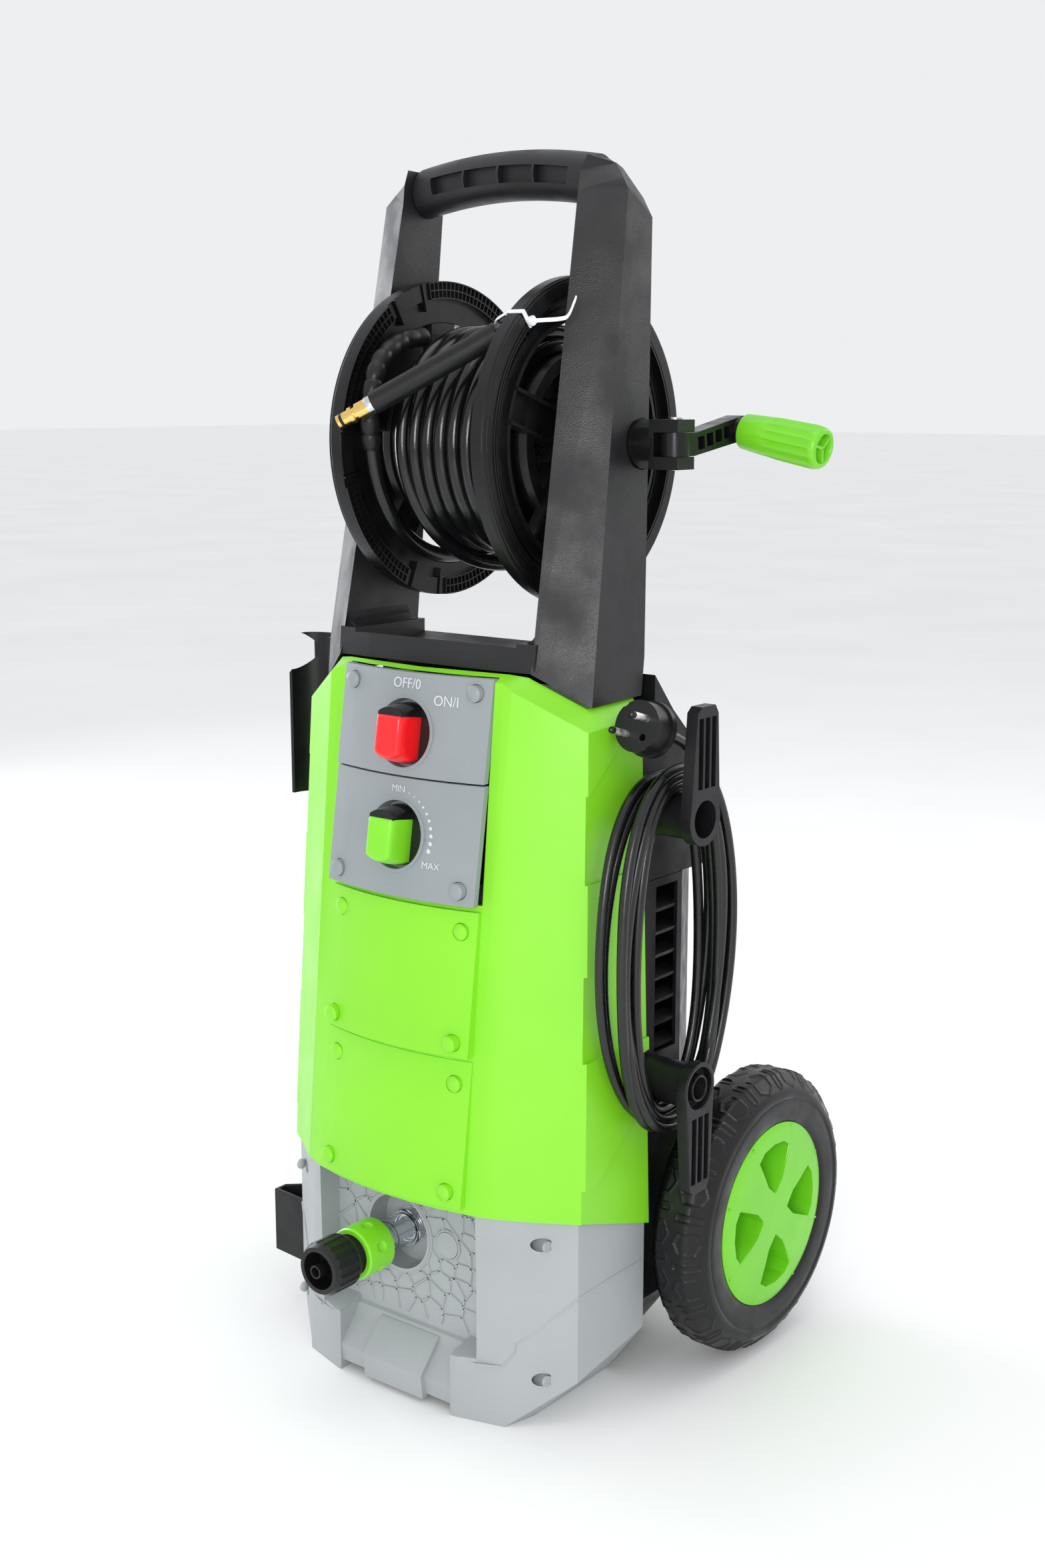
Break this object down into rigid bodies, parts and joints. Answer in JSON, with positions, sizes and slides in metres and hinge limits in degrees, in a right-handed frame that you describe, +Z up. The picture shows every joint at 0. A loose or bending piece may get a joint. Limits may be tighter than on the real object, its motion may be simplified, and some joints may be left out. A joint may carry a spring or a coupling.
{
  "type": "pressure washer",
  "caption": "Upright electric pressure washer on two wheels, with a crank hose reel in its handle frame, two rotary controls, a water inlet coupling, a cord wrap and a mains plug.",
  "frame": {"origin": "on the floor, straight below the hose reel's axis and midway between the wheels", "axes": "+X to the crank side, +Y to the rear (wheels), +Z up"},
  "size_m": [0.4111, 0.415, 0.9055],
  "materials": {
    "cover_green": "semi-gloss moulded, lime green",
    "housing_grey": "satin moulded, light grey",
    "panel_grey": "fine-grained satin, mid grey",
    "housing_black": "moulded black",
    "frame_black": "moulded black with a mottled sheen",
    "reel_black": "moulded black",
    "steel": "plain turned steel",
    "hose_rubber": "smooth black hose cover",
    "zinc": "bright zinc-plated",
    "brass_fitting": "turned brass",
    "seal_rubber": "smooth black seal",
    "tie_white": "smooth white nylon",
    "hub_green": "semi-gloss moulded green",
    "tyre_rubber": "moulded black with a tread",
    "knob_black": "moulded black",
    "insert_red": "moulded bright red",
    "insert_green": "moulded lime green",
    "pump_alloy": "cast alloy",
    "motor_case": "dark cast alloy",
    "filter_clear": "clear moulded plastic",
    "filter_white": "white moulded",
    "coupling_black": "moulded black",
    "cord_rubber": "black cord jacket"
  },
  "bodies": {
    "body": {"front_cover": "cover_green", "panel_plugs_green": "cover_green", "base_housing": "housing_grey", "base_screws": "housing_grey", "switch_panel": "panel_grey", "regulator_panel": "panel_grey", "panel_plugs_grey": "panel_grey", "rear_housing": "housing_black", "rear_upper_housing": "housing_black", "gun_holder": "housing_black", "lance_holder": "housing_black", "upper_cable_hook": "housing_black", "handle_frame": "frame_black", "handle_grip": "frame_black", "hook_screw": "steel", "wheel_axle": "steel", "axle_clips": "steel", "link_hose": "hose_rubber", "capacitor": "zinc", "regulator_valve": "brass_fitting", "switch_body": "knob_black", "inlet_thread": "pump_alloy", "pump_body": "pump_alloy", "motor_housing": "motor_case", "filter_bowl": "filter_clear", "filter_mesh": "filter_white", "coupling_body": "coupling_black", "cord_gland": "cord_rubber", "cord_lead": "cord_rubber", "cord_hank": "cord_rubber", "cord_end_run": "cord_rubber", "plug_body": "cord_rubber"},
    "reel": {"reel_flange_left": "reel_black", "reel_flange_right": "reel_black", "reel_drum": "reel_black", "reel_axle": "steel", "hose_coil": "hose_rubber", "hose_kink_guard": "hose_rubber", "hose_end_run": "hose_rubber", "hose_sleeve": "hose_rubber", "hose_ferrule": "zinc", "hose_fitting": "brass_fitting", "fitting_o_ring": "seal_rubber", "cable_tie": "tie_white", "crank_hub": "reel_black", "crank_pin": "steel"},
    "crank_arm": {"crank_arm": "reel_black"},
    "crank_grip": {"crank_grip": "hub_green"},
    "lower_hook": {"lower_cable_hook": "housing_black"},
    "wheel_left": {"tyre_left": "tyre_rubber", "wheel_hub_left": "hub_green"},
    "wheel_right": {"tyre_right": "tyre_rubber", "wheel_hub_right": "hub_green"},
    "power_knob": {"power_knob": "knob_black", "power_knob_insert": "insert_red"},
    "pressure_knob": {"pressure_knob": "knob_black", "pressure_knob_insert": "insert_green"},
    "coupling_sleeve": {"coupling_sleeve": "insert_green"},
    "hose_nut": {"hose_nut": "coupling_black"},
    "motor_rotor": {"motor_rotor": "steel"}
  },
  "joints": [
    {"name": "reel_spin", "type": "hinge", "parent": "body", "child": "reel", "pos_m": [0, 0, 0.701], "axis": [1, 0, 0], "continuous": true},
    {"name": "crank_fold", "type": "hinge", "parent": "reel", "child": "crank_arm", "pos_m": [0.147, 0, 0.701], "axis": [0, 0, -1], "range_deg": [0, 120]},
    {"name": "crank_grip_spin", "type": "hinge", "parent": "crank_arm", "child": "crank_grip", "pos_m": [0.147, 0.072, 0.711], "axis": [0.9848, 0, -0.1736], "continuous": true},
    {"name": "lower_hook_turn", "type": "hinge", "parent": "body", "child": "lower_hook", "pos_m": [0.157, -0.013, 0.246], "axis": [-1, 0, 0], "range_deg": [0, 180]},
    {"name": "wheel_left_spin", "type": "hinge", "parent": "body", "child": "wheel_left", "pos_m": [-0.161, 0.098, 0.111], "axis": [1, 0, 0], "continuous": true},
    {"name": "wheel_right_spin", "type": "hinge", "parent": "body", "child": "wheel_right", "pos_m": [0.161, 0.098, 0.111], "axis": [1, 0, 0], "continuous": true},
    {"name": "power_switch_turn", "type": "hinge", "parent": "body", "child": "power_knob", "pos_m": [0, -0.12, 0.5], "axis": [0, 0.9877, -0.1564], "range_deg": [0, 45]},
    {"name": "pressure_turn", "type": "hinge", "parent": "body", "child": "pressure_knob", "pos_m": [0, -0.1305, 0.428], "axis": [0, 0.9877, -0.1564], "range_deg": [0, 110]},
    {"name": "coupling_sleeve_slide", "type": "slide", "parent": "body", "child": "coupling_sleeve", "axis": [0, -1, 0], "range_m": [0, 0.004], "stiffness_N_per_m": 400},
    {"name": "hose_nut_turn", "type": "hinge", "parent": "body", "child": "hose_nut", "pos_m": [-0.014, -0.19, 0.117], "axis": [0, 1, 0], "range_deg": [0, 360]},
    {"name": "rotor_spin", "type": "hinge", "parent": "body", "child": "motor_rotor", "pos_m": [0, 0.03, 0.27], "axis": [0, 0, 1], "continuous": true}
  ]
}
